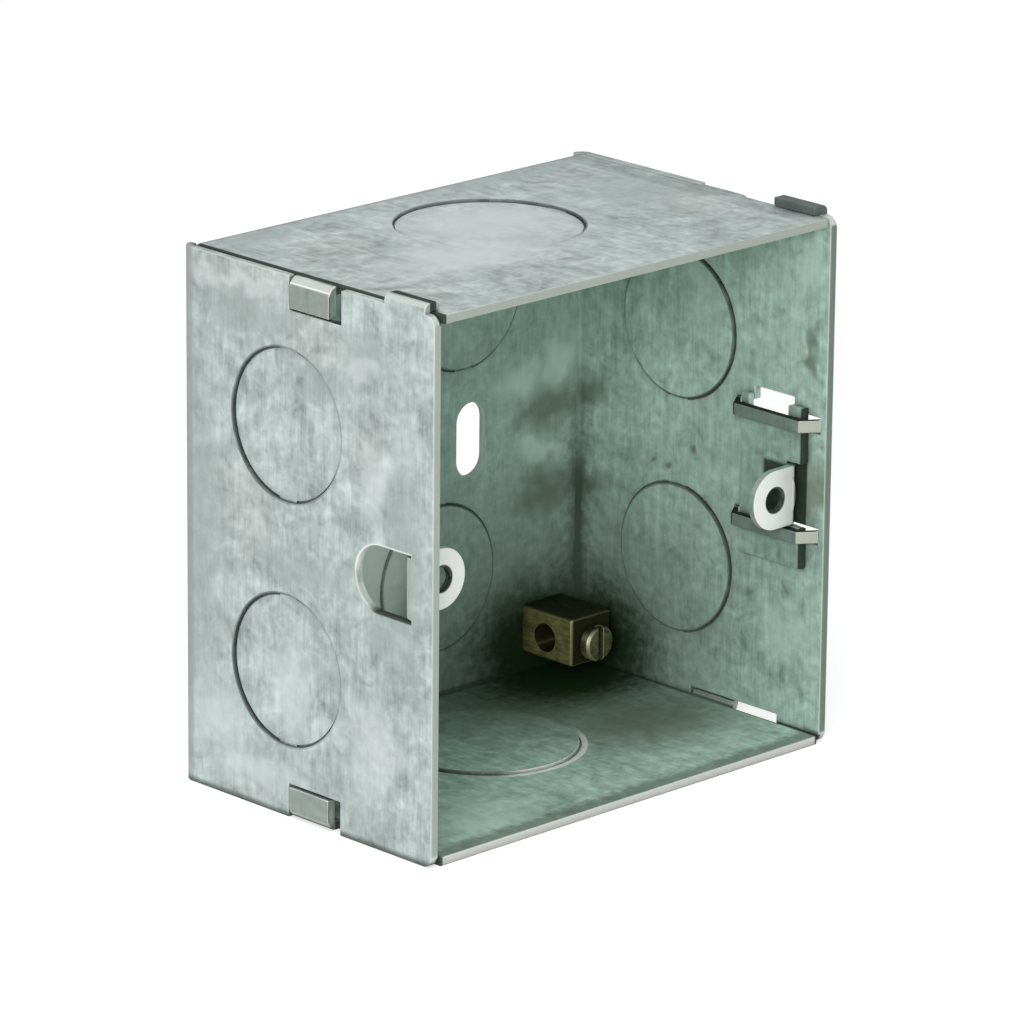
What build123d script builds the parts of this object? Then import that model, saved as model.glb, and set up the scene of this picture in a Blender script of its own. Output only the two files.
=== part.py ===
"""Flush mounting box for one wiring accessory, folded from one galvanised sheet.

Millimetres. The origin is the centre of the back's outer face. +X is to the right, +Y goes into the wall that
the box is sunk in, +Z is up, and the open front faces -Y. A depth is counted from the back's outer face.
"""

import os
from math import pi

from build123d import *

# Folded sheet
BOX_WIDTH = 72.0
BOX_HEIGHT = 72.0
BOX_DEPTH = 47.0
SHEET = 1.2
FOLD_INNER_R = 0.6
SEAM_GAP = 0.4
WALL_CORNER_R = 1.6

# Knock-outs, half sheared and pushed inwards, held by two ties each
SIDE_KNOCKOUT_DIA = 20.3
SIDE_KNOCKOUT_DEPTH = 20.0
SIDE_KNOCKOUT_PITCH = 32.6
END_KNOCKOUT_DIA = 25.0
END_KNOCKOUT_DEPTH = 19.3
BACK_KNOCKOUT_DIA = 20.3
BACK_UPPER_PITCH = 26.0
BACK_UPPER_RISE = 20.3
BACK_LOWER_OFFSET = 8.4
BACK_LOWER_DROP = 18.2
KNOCKOUT_PUSH = 0.35
SHEAR_LINE = 0.3
SHEAR_DEPTH = 0.25
TIE_WIDTH = 3.2

# Fixing slots in the back
FIXING_SLOT_WIDTH = 5.2
FIXING_SLOT_LENGTH = 10.3
FIXING_SLOT_PITCH = 29.0

# Lock tabs of the top and bottom walls, folded into notches of the side walls
TAB_LENGTH = 7.4
TAB_PROUD = 0.25
TAB_FOLD_R = 0.3
TAB_CLEARANCE = 0.3
LEFT_TAB_DEPTH = 20.8
LEFT_TAB_HEIGHT = 4.2
LEFT_NOTCH_LENGTH = 9.6
RIGHT_TAB_DEPTH = 23.4
RIGHT_TAB_HEIGHT = 1.8
RIGHT_NOTCH_LENGTH = 16.0

# Lips of the side walls, folded over the top wall at the front corners
LIP_LENGTH = 7.3
LIP_WIDTH = 2.5
LIP_FRONT_MARGIN = 1.8
LIP_GAP = 0.1
LIP_FOLD_R = 0.9

# Lugs for the accessory's screws
LUG_HOLE_INSET = 4.65
LUG_SETBACK = 4.5
LUG_R = 4.05
LUG_HOLE_DIA = 2.9
LUG_FOLD_R = 0.5
LANCE_CLEARANCE = 0.3
NEUTRAL_SHARE = 0.4

# Straps lanced inwards from the right wall as a slideway
STRAP_PITCH = 15.2
STRAP_HEIGHT = 1.7
STRAP_LEG = 1.7
STRAP_FRONT_MARGIN = 1.1
STRAP_SPAN = 15.3
STRAP_SLIT = 0.25
SLIDE_WINDOW_WIDTH = 7.1
SLIDE_WINDOW_HEIGHT = 21.2
SLIDE_WINDOW_SETBACK = 5.9

# Sliding lug
LUG_PLATE = 1.0
LUG_PLATE_HEIGHT = 20.0
LUG_HEAD_HEIGHT = 5.6
LUG_HORN = 2.0
SLIDE_PLAY = 0.1
SLIDE_SIDE_PLAY = 0.3
STOP_CLEARANCE = 0.4

# Earth terminal
TERMINAL_WIDTH = 7.4
TERMINAL_DEPTH = 9.5
TERMINAL_HEIGHT = 6.8
TERMINAL_SIDE_GAP = 2.9
TERMINAL_FLOOR_GAP = 2.7
TERMINAL_EDGE = 0.35
TERMINAL_AXIS_DROP = 0.35
WIRE_HOLE_DIA = 4.0
WIRE_HOLE_RISE = 4.3
SPIGOT_DIA = 3.4
SPIGOT_CLEARANCE = 0.05
SCREW_DIA = 3.8
SCREW_CLEARANCE = 0.08
SCREW_REACH = 1.2
SCREW_HEAD_DIA = 5.0
SCREW_HEAD_HEIGHT = 1.5
SCREW_HEAD_EDGE = 0.35
SCREW_HEAD_LIFT = 0.4
SCREW_SLOT_WIDTH = 0.9
SCREW_SLOT_DEPTH = 0.8

# Sizes worked out from the driving dimensions
FOLD_OUTER_R = FOLD_INNER_R + SHEET
HALF_W = BOX_WIDTH / 2
HALF_H = BOX_HEIGHT / 2
INNER_X = HALF_W - SHEET
INNER_Z = HALF_H - SHEET
LUG_HOLE_X = INNER_X - LUG_HOLE_INSET
LUG_FACE_Y = LUG_SETBACK - BOX_DEPTH
STRAP_FRONT_Y = STRAP_FRONT_MARGIN - BOX_DEPTH
STRAP_BACK_Y = STRAP_FRONT_Y + STRAP_SPAN
STRAP_RISE = SHEET + LUG_PLATE + 2 * SLIDE_PLAY
SLIDE_WINDOW_FRONT_Y = SLIDE_WINDOW_SETBACK - BOX_DEPTH
SLIDE_WINDOW_BACK_Y = SLIDE_WINDOW_FRONT_Y + SLIDE_WINDOW_WIDTH
LUG_TRAVEL = STRAP_PITCH - STRAP_HEIGHT - 2 * LUG_R - 2 * STOP_CLEARANCE
LUG_REST_Z = -LUG_TRAVEL / 2
TERMINAL_CENTRE_X = INNER_X - TERMINAL_SIDE_GAP - TERMINAL_WIDTH / 2
TERMINAL_CENTRE_Z = TERMINAL_HEIGHT / 2 + TERMINAL_FLOOR_GAP - INNER_Z
TERMINAL_FRONT_Y = -SHEET - TERMINAL_DEPTH
TERMINAL_AXIS_Z = TERMINAL_CENTRE_Z - TERMINAL_AXIS_DROP
WIRE_HOLE_Y = -SHEET - WIRE_HOLE_RISE


def block(x, y, z):
    """A box between two x, two y and two z values, each pair in any order."""
    size = [abs(pair[1] - pair[0]) for pair in (x, y, z)]
    centre = [(pair[0] + pair[1]) / 2 for pair in (x, y, z)]
    return Pos(*centre) * Box(*size)


def outline(*points):
    """A flat face inside a closed run of straight lines."""
    return make_face(Polyline(*points, close=True))


def corner(face, x, y):
    """The vertex of a flat face at a point of its plane."""
    return face.vertices().sort_by_distance((x, y, 0))[0]


def folded_channel(plane, half_span, half_length):
    """Two walls and the web between them, bent from one sheet, drawn on a plane and drawn out both ways."""
    inner = half_span - SHEET
    face = outline(
        (-half_span, -BOX_DEPTH), (-half_span, 0), (half_span, 0), (half_span, -BOX_DEPTH),
        (inner, -BOX_DEPTH), (inner, -SHEET), (-inner, -SHEET), (-inner, -BOX_DEPTH),
    )
    for side in (-1, 1):
        face = fillet(corner(face, side * half_span, 0), FOLD_OUTER_R)
        face = fillet(corner(face, side * inner, -SHEET), FOLD_INNER_R)
    return extrude(plane * face, amount=half_length, both=True)


def wall_corner_waste(side, end):
    """What is cut from a side wall to round its front corner."""
    wall = Plane((side * (HALF_W + INNER_X) / 2, 0, 0), x_dir=(0, 1, 0), z_dir=(1, 0, 0))
    centre = Pos(WALL_CORNER_R - BOX_DEPTH, end * (HALF_H - WALL_CORNER_R))
    outwards = Align.MIN if end > 0 else Align.MAX
    square = centre * Rectangle(WALL_CORNER_R, WALL_CORNER_R, align=(Align.MAX, outwards))
    return extrude(wall * (square - centre * Circle(WALL_CORNER_R)), amount=SHEET, both=True)


def folded_walls():
    """Back, side walls and end walls. The seams are open, and a slit parts the two folds at each corner."""
    sides = folded_channel(Plane.XY, HALF_W, HALF_H)
    fold_x = HALF_W - FOLD_OUTER_R
    for end in (-1, 1):
        sides -= block((-fold_x, fold_x), (-FOLD_OUTER_R, 0), (end * (HALF_H - FOLD_OUTER_R), end * HALF_H))
        for side in (-1, 1):
            sides -= wall_corner_waste(side, end)
    ends_plane = Plane(origin=(0, 0, 0), x_dir=(0, 0, 1), z_dir=(-1, 0, 0))
    ends = folded_channel(ends_plane, HALF_H, INNER_X - SEAM_GAP)
    for side in (-1, 1):
        ends -= block((side * (fold_x - SEAM_GAP), side * HALF_W), (-FOLD_OUTER_R, 0), (-HALF_H, HALF_H))
    return sides + ends


def knockout_places():
    """Every knock-out's plane on an outer face, with its ties along the plane's x, and its diameter."""
    places = []
    for side in (-1, 1):
        for level in (-1, 1):
            centre = (side * HALF_W, -SIDE_KNOCKOUT_DEPTH, level * SIDE_KNOCKOUT_PITCH / 2)
            places.append((Plane(centre, x_dir=(0, 0, 1), z_dir=(side, 0, 0)), SIDE_KNOCKOUT_DIA))
    for end in (-1, 1):
        centre = (0, -END_KNOCKOUT_DEPTH, end * HALF_H)
        places.append((Plane(centre, x_dir=(1, 0, 0), z_dir=(0, 0, end)), END_KNOCKOUT_DIA))
    back_centres = [
        (-BACK_UPPER_PITCH / 2, BACK_UPPER_RISE), (BACK_UPPER_PITCH / 2, BACK_UPPER_RISE),
        (BACK_LOWER_OFFSET, -BACK_LOWER_DROP),
    ]
    for x, z in back_centres:
        places.append((Plane((x, 0, z), x_dir=(0, 0, 1), z_dir=(0, 1, 0)), BACK_KNOCKOUT_DIA))
    return places


def with_knockout(shell, plane, diameter):
    """Pushes a disc part way through the sheet and cuts the shear line on both faces, apart from the ties."""
    radius = diameter / 2
    ties = plane * Box(2 * diameter, TIE_WIDTH, 4 * SHEET)
    recess = extrude(plane * Circle(radius), amount=-KNOCKOUT_PUSH)
    disc_floor = plane.offset(-KNOCKOUT_PUSH)
    outer_line = extrude(disc_floor * (Circle(radius) - Circle(radius - SHEAR_LINE)), amount=-SHEAR_DEPTH)
    inner_face = plane.offset(-SHEET)
    boss = extrude(inner_face * Circle(radius), amount=-KNOCKOUT_PUSH)
    inner_line = extrude(inner_face * (Circle(radius + SHEAR_LINE) - Circle(radius)), amount=SHEAR_DEPTH)
    return shell - recess - (outer_line - ties) - (inner_line - ties) + boss


def with_fixing_slots(shell):
    """Two upright oblong slots in the back for the screws into the wall."""
    for side in (-1, 1):
        place = Plane((side * FIXING_SLOT_PITCH / 2, 0, 0), x_dir=(0, 0, 1), z_dir=(0, 1, 0))
        shell -= extrude(place * SlotOverall(FIXING_SLOT_LENGTH, FIXING_SLOT_WIDTH), amount=SHEET, both=True)
    return shell


def with_lock_tab(shell, side, end, depth, height, notch_length):
    """Notches one side wall's edge and folds a tab of the end wall into the notch."""
    notch_height = height + TAB_CLEARANCE
    shell -= block(
        (side * (INNER_X - SEAM_GAP), side * (HALF_W + SHEET)),
        (TAB_CLEARANCE - depth, TAB_CLEARANCE - depth - notch_length),
        (end * (HALF_H - notch_height), end * (HALF_H + SHEET)),
    )
    root = side * (INNER_X - SEAM_GAP - SHEET)
    outer = side * (HALF_W + TAB_PROUD)
    inner = side * (HALF_W + TAB_PROUD - SHEET)
    tip = end * (HALF_H - height)
    face = outline(
        (root, end * HALF_H), (outer, end * HALF_H), (outer, tip),
        (inner, tip), (inner, end * INNER_Z), (root, end * INNER_Z),
    )
    face = fillet(corner(face, outer, end * HALF_H), TAB_FOLD_R + SHEET)
    face = fillet(corner(face, inner, end * INNER_Z), TAB_FOLD_R)
    tab = extrude(Plane.XZ.offset(depth) * face, amount=TAB_LENGTH)
    web = block(
        (root, side * (INNER_X - SEAM_GAP)), (-depth, -depth - notch_length), (end * INNER_Z, end * HALF_H)
    )
    return shell + web + tab


def with_lip(shell, side):
    """Carries a side wall's upper front corner over the top wall as a folded lip."""
    top = HALF_H + LIP_GAP + SHEET
    outer = side * HALF_W
    inner = side * INNER_X
    tip = side * (HALF_W - LIP_WIDTH)
    face = outline(
        (outer, INNER_Z), (outer, top), (tip, top),
        (tip, HALF_H + LIP_GAP), (inner, HALF_H + LIP_GAP), (inner, INNER_Z),
    )
    face = fillet(corner(face, outer, top), LIP_FOLD_R)
    start = BOX_DEPTH - LIP_FRONT_MARGIN - LIP_LENGTH
    return shell + extrude(Plane.XZ.offset(start) * face, amount=LIP_LENGTH)


def lug_ear(side, root_x, thickness):
    """A round-ended ear with its screw hole, its front on the lugs' common plane, from a fold at root_x."""
    centre_x = side * LUG_HOLE_X
    face = Pos((root_x + centre_x) / 2, 0) * Rectangle(abs(centre_x - root_x), 2 * LUG_R)
    face += Pos(centre_x, 0) * Circle(LUG_R)
    face -= Pos(centre_x, 0) * Circle(LUG_HOLE_DIA / 2)
    return extrude(Plane.XZ.offset(-LUG_FACE_Y - thickness) * face, amount=thickness)


def lug_fold(centre_x, centre_y, start_angle, thickness):
    """A quarter turn of sheet about an upright line."""
    ring = Circle(LUG_FOLD_R + thickness) - Circle(LUG_FOLD_R)
    reach = 2 * (LUG_FOLD_R + thickness)
    quarter = Rectangle(reach, reach, align=(Align.MIN, Align.MIN))
    face = Pos(centre_x, centre_y) * (Rot(0, 0, start_angle) * quarter & ring)
    return extrude(face, amount=LUG_R, both=True)


def with_fixed_lug(shell):
    """Lances an ear out of the left wall and folds it inwards at its front. A window stays behind it."""
    fold_y = LUG_FACE_Y - LUG_FOLD_R
    straight = LUG_HOLE_INSET - LUG_FOLD_R
    fold_length = (LUG_FOLD_R + NEUTRAL_SHARE * SHEET) * pi / 2
    round_y = fold_y + fold_length + straight
    half_window = LUG_R + LANCE_CLEARANCE
    wall = Plane((-HALF_W, 0, 0), x_dir=(0, 1, 0), z_dir=(1, 0, 0))
    window = Pos((fold_y + round_y) / 2, 0) * Rectangle(round_y - fold_y, 2 * half_window)
    window += Pos(round_y, 0) * Circle(half_window)
    shell -= extrude(wall * window, amount=SHEET)
    root_x = LUG_FOLD_R - INNER_X
    return shell + lug_fold(root_x, fold_y, 90, SHEET) + lug_ear(-1, root_x, SHEET)


def with_slideway(shell):
    """Opens the right wall behind the sliding lug and lances two straps inwards to hold the lug's plate."""
    half_window = SLIDE_WINDOW_HEIGHT / 2
    shell -= block(
        (INNER_X, HALF_W), (SLIDE_WINDOW_FRONT_Y, SLIDE_WINDOW_BACK_Y), (-half_window, half_window)
    )
    front_bend = STRAP_FRONT_Y + STRAP_LEG
    back_bend = STRAP_BACK_Y - STRAP_LEG
    profile = outline(
        (INNER_X, STRAP_FRONT_Y), (INNER_X - STRAP_RISE, front_bend),
        (INNER_X - STRAP_RISE, back_bend), (INNER_X, STRAP_BACK_Y),
        (HALF_W, STRAP_BACK_Y), (HALF_W - STRAP_RISE, back_bend),
        (HALF_W - STRAP_RISE, front_bend), (HALF_W, STRAP_FRONT_Y),
    )
    strap = extrude(profile, amount=STRAP_HEIGHT / 2, both=True)
    half_slot = STRAP_HEIGHT / 2 + STRAP_SLIT
    for level in (-1, 1):
        height = level * STRAP_PITCH / 2
        slot = (height - half_slot, height + half_slot)
        shell -= block((INNER_X, HALF_W), (STRAP_FRONT_Y, STRAP_BACK_Y), slot)
        shell += Pos(0, 0, height) * strap
    return shell


def box_shell():
    """The whole folded sheet."""
    shell = folded_walls()
    for plane, diameter in knockout_places():
        shell = with_knockout(shell, plane, diameter)
    shell = with_fixing_slots(shell)
    for end in (-1, 1):
        shell = with_lock_tab(shell, -1, end, LEFT_TAB_DEPTH, LEFT_TAB_HEIGHT, LEFT_NOTCH_LENGTH)
        shell = with_lock_tab(shell, 1, end, RIGHT_TAB_DEPTH, RIGHT_TAB_HEIGHT, RIGHT_NOTCH_LENGTH)
    for side in (-1, 1):
        shell = with_lip(shell, side)
    shell = with_fixed_lug(shell)
    shell = with_slideway(shell)
    spigot_hole = Circle(SPIGOT_DIA / 2 + SPIGOT_CLEARANCE)
    place = Plane((TERMINAL_CENTRE_X, 0, TERMINAL_CENTRE_Z), z_dir=(0, 1, 0))
    return shell - extrude(place * spigot_hole, amount=SHEET, both=True)


def adjustable_lug():
    """A plate under the two straps, forked above, with an ear folded inwards between its two front heads."""
    outer = INNER_X - SLIDE_PLAY
    inner = outer - LUG_PLATE
    back = STRAP_BACK_Y - STRAP_LEG - SLIDE_SIDE_PLAY
    head_front = STRAP_FRONT_Y + STRAP_LEG + SLIDE_SIDE_PLAY
    fold_y = LUG_FACE_Y + LUG_PLATE + LUG_FOLD_R
    half_plate = LUG_PLATE_HEIGHT / 2
    horn_top = half_plate + LUG_HORN
    plate = block((inner, outer), (head_front, back), (-half_plate, horn_top))
    plate -= block((inner, outer), (SLIDE_WINDOW_FRONT_Y, SLIDE_WINDOW_BACK_Y), (half_plate, horn_top))
    half_notch = half_plate - LUG_HEAD_HEIGHT
    plate -= block((inner, outer), (head_front, LUG_FACE_Y), (-half_notch, half_notch))
    half_fold = LUG_R + LANCE_CLEARANCE
    plate -= block((inner, outer), (LUG_FACE_Y, fold_y), (-half_fold, half_fold))
    root_x = inner - LUG_FOLD_R
    plate += lug_fold(root_x, fold_y, -90, LUG_PLATE)
    plate += lug_ear(1, root_x, LUG_PLATE)
    return Pos(0, 0, LUG_REST_Z) * plate


def earth_terminal_block():
    """A brass pillar with a cross hole for the wire, a screw hole in front and a spigot through the back."""
    body = block(
        (TERMINAL_CENTRE_X - TERMINAL_WIDTH / 2, TERMINAL_CENTRE_X + TERMINAL_WIDTH / 2),
        (TERMINAL_FRONT_Y, -SHEET),
        (TERMINAL_CENTRE_Z - TERMINAL_HEIGHT / 2, TERMINAL_CENTRE_Z + TERMINAL_HEIGHT / 2),
    )
    body = chamfer(body.edges().filter_by(Axis.Y) + body.faces().sort_by(Axis.Y)[0].edges(), TERMINAL_EDGE)
    wire = Plane((TERMINAL_CENTRE_X, WIRE_HOLE_Y, TERMINAL_AXIS_Z), z_dir=(1, 0, 0))
    body -= extrude(wire * Circle(WIRE_HOLE_DIA / 2), amount=TERMINAL_WIDTH, both=True)
    screw = Plane((TERMINAL_CENTRE_X, WIRE_HOLE_Y, TERMINAL_AXIS_Z), z_dir=(0, -1, 0))
    body -= extrude(screw * Circle(SCREW_DIA / 2 + SCREW_CLEARANCE), amount=TERMINAL_DEPTH)
    spigot = Plane((TERMINAL_CENTRE_X, -SHEET, TERMINAL_CENTRE_Z), z_dir=(0, 1, 0))
    return body + extrude(spigot * Circle(SPIGOT_DIA / 2), amount=SHEET)


def earth_terminal_screw():
    """A cheese-head clamp screw, slotted, lying just clear of the pillar's front."""
    head_y = TERMINAL_FRONT_Y - SCREW_HEAD_LIFT
    head_back = Plane((TERMINAL_CENTRE_X, head_y, TERMINAL_AXIS_Z), z_dir=(0, -1, 0))
    head = extrude(head_back * Circle(SCREW_HEAD_DIA / 2), amount=SCREW_HEAD_HEIGHT)
    head = chamfer(head.faces().sort_by(Axis.Y)[0].edges(), SCREW_HEAD_EDGE)
    slot_floor = head_back.offset(SCREW_HEAD_HEIGHT - SCREW_SLOT_DEPTH)
    head -= extrude(slot_floor * Rectangle(2 * SCREW_HEAD_DIA, SCREW_SLOT_WIDTH), amount=SCREW_SLOT_DEPTH)
    tip_y = WIRE_HOLE_Y - WIRE_HOLE_DIA / 2 + SCREW_REACH
    return head + extrude(head_back * Circle(SCREW_DIA / 2), amount=head_y - tip_y)


PARTS = {
    "box_shell": box_shell,
    "adjustable_lug": adjustable_lug,
    "earth_terminal_block": earth_terminal_block,
    "earth_terminal_screw": earth_terminal_screw,
}

os.makedirs("parts", exist_ok=True)
for name, make in PARTS.items():
    export_step(make(), f"parts/{name}.step")
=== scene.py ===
"""Looks of a galvanised flush mounting box with a sliding lug and a brass earth terminal."""
import math

import bmesh
import bpy
from mathutils import Matrix, Vector


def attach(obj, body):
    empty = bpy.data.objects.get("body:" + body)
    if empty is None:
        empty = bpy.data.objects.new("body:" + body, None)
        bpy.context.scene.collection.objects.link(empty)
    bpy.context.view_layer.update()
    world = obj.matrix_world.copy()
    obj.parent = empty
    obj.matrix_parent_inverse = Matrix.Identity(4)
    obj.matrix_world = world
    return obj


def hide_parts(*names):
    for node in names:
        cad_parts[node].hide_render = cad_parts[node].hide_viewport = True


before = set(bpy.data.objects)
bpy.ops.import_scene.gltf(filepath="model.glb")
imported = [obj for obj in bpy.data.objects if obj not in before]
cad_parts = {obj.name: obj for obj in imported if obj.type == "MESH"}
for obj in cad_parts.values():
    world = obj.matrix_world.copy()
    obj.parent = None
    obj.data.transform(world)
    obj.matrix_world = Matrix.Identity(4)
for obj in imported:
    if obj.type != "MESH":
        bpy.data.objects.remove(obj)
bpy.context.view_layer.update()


# Box shell
# One blank of galvanised sheet, half sheared for the knock-outs, lanced for the straps and the fixed ear, and
# folded up. Tabs and lips hold its open seams. Stamping rolls every cut edge a little and leaves it bright.
# Sizes are in millimetres. The front is at the lowest Y and the back's outside at Y = 0.
MM = 0.001
SHEET = 1.2
WALL_OUT = 36.0
WALL_IN = WALL_OUT - SHEET
FRONT_Y = -47.0
FOLD = 0.6 + SHEET
SIDE_KNOCKOUT = {"depth": 20.0, "level": 16.3, "radius": 10.15}
END_KNOCKOUT = {"depth": 19.3, "radius": 12.5}
BACK_KNOCKOUT = {"radius": 10.15, "upper": (13.0, 20.3), "lower": (8.4, -18.2)}
EAR = {"front_y": -42.5, "back_y": -42.5 + SHEET, "tip_x": -26.1}
EAR_HOLE = {"x": 30.15, "drill": 1.45, "tapped": 1.72, "shade": (1.95, 1.75)}
EAR_WINDOW = {"round_y": -37.31, "front_y": -43.0, "radius": 4.35}
TAB_SLIT = {"front_y": -30.3, "back_y": -28.25, "low_z": 31.5}
RIGHT_LIP_X = 30.0
STRAP = {"z": 7.6, "height": 1.7, "leg": 1.7, "front_y": -45.9, "back_y": -30.6}
EDGE_ROLL = 0.15
SHEAR_ROLL = 0.05
WELD = 0.002
FLAT_ANGLE = math.radians(0.5)
SHARP_ANGLE = math.radians(35)
SHADE_ANGLE = math.radians(18)


def merged_copy(node, name):
    """A new object with a CAD node's mesh, its loose triangles welded and its flat faces made whole."""
    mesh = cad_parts[node].data.copy()
    mesh.name = name
    mesh.materials.clear()
    if "custom_normal" in mesh.attributes:
        mesh.attributes.remove(mesh.attributes["custom_normal"])
    work = bmesh.new()
    work.from_mesh(mesh)
    bmesh.ops.remove_doubles(work, verts=work.verts, dist=WELD * MM)
    bmesh.ops.dissolve_limit(work, angle_limit=FLAT_ANGLE, verts=work.verts, edges=work.edges)
    work.to_mesh(mesh)
    work.free()
    piece = bpy.data.objects.new(name, mesh)
    bpy.context.scene.collection.objects.link(piece)
    return piece


def set_bore(mesh, x, z, old_radius, new_radius, front_y, back_y):
    """Moves the wall of a round hole or shank along Y from one radius to another."""
    radius_slack, end_slack = 0.03, 0.05
    for vertex in mesh.vertices:
        spoke = Vector((vertex.co.x / MM - x, 0.0, vertex.co.z / MM - z))
        on_wall = abs(spoke.length - old_radius) < radius_slack
        if on_wall and front_y - end_slack < vertex.co.y / MM < back_y + end_slack:
            vertex.co += spoke.normalized() * (new_radius - spoke.length) * MM


def roll_edges(mesh, width, chosen=lambda middle: True):
    """Rounds the sharp outward edges whose middle is chosen. Nothing is left standing out of the back."""
    work = bmesh.new()
    work.from_mesh(mesh)
    back_y = max(vertex.co.y for vertex in work.verts)
    edges = [
        edge for edge in work.edges
        if edge.is_manifold and edge.is_convex and edge.calc_face_angle() > SHARP_ANGLE
        and chosen((edge.verts[0].co + edge.verts[1].co) / 2 / MM)
    ]
    bmesh.ops.bevel(
        work, geom=edges, offset=width * MM, offset_type="OFFSET", segments=2, profile=0.5, affect="EDGES",
        clamp_overlap=False,
    )
    for vertex in work.verts:
        vertex.co.y = min(vertex.co.y, back_y)
    work.to_mesh(mesh)
    work.free()


def shade(piece, material):
    """Splits the faces into triangles, smooths the round ones only and gives the piece its one material."""
    work = bmesh.new()
    work.from_mesh(piece.data)
    bmesh.ops.triangulate(work, faces=work.faces)
    work.to_mesh(piece.data)
    work.free()
    piece.data.shade_smooth()
    piece.data.set_sharp_from_angle(angle=SHADE_ANGLE)
    piece.data.materials.append(material)


def near_shear_line(point, reach=0.6):
    """Whether a point lies on the shear line of a knock-out."""
    x, y, z = point
    from_wall, from_back = WALL_IN - 1, -3
    offsets = []
    if abs(x) > from_wall:
        from_middle = math.hypot(y + SIDE_KNOCKOUT["depth"], abs(z) - SIDE_KNOCKOUT["level"])
        offsets.append(from_middle - SIDE_KNOCKOUT["radius"])
    if abs(z) > from_wall:
        offsets.append(math.hypot(x, y + END_KNOCKOUT["depth"]) - END_KNOCKOUT["radius"])
    if y > from_back:
        upper_x, upper_z = BACK_KNOCKOUT["upper"]
        for centre_x, centre_z in ((-upper_x, upper_z), (upper_x, upper_z), BACK_KNOCKOUT["lower"]):
            offsets.append(math.hypot(x - centre_x, z - centre_z) - BACK_KNOCKOUT["radius"])
    return any(abs(offset) < reach for offset in offsets)


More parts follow.
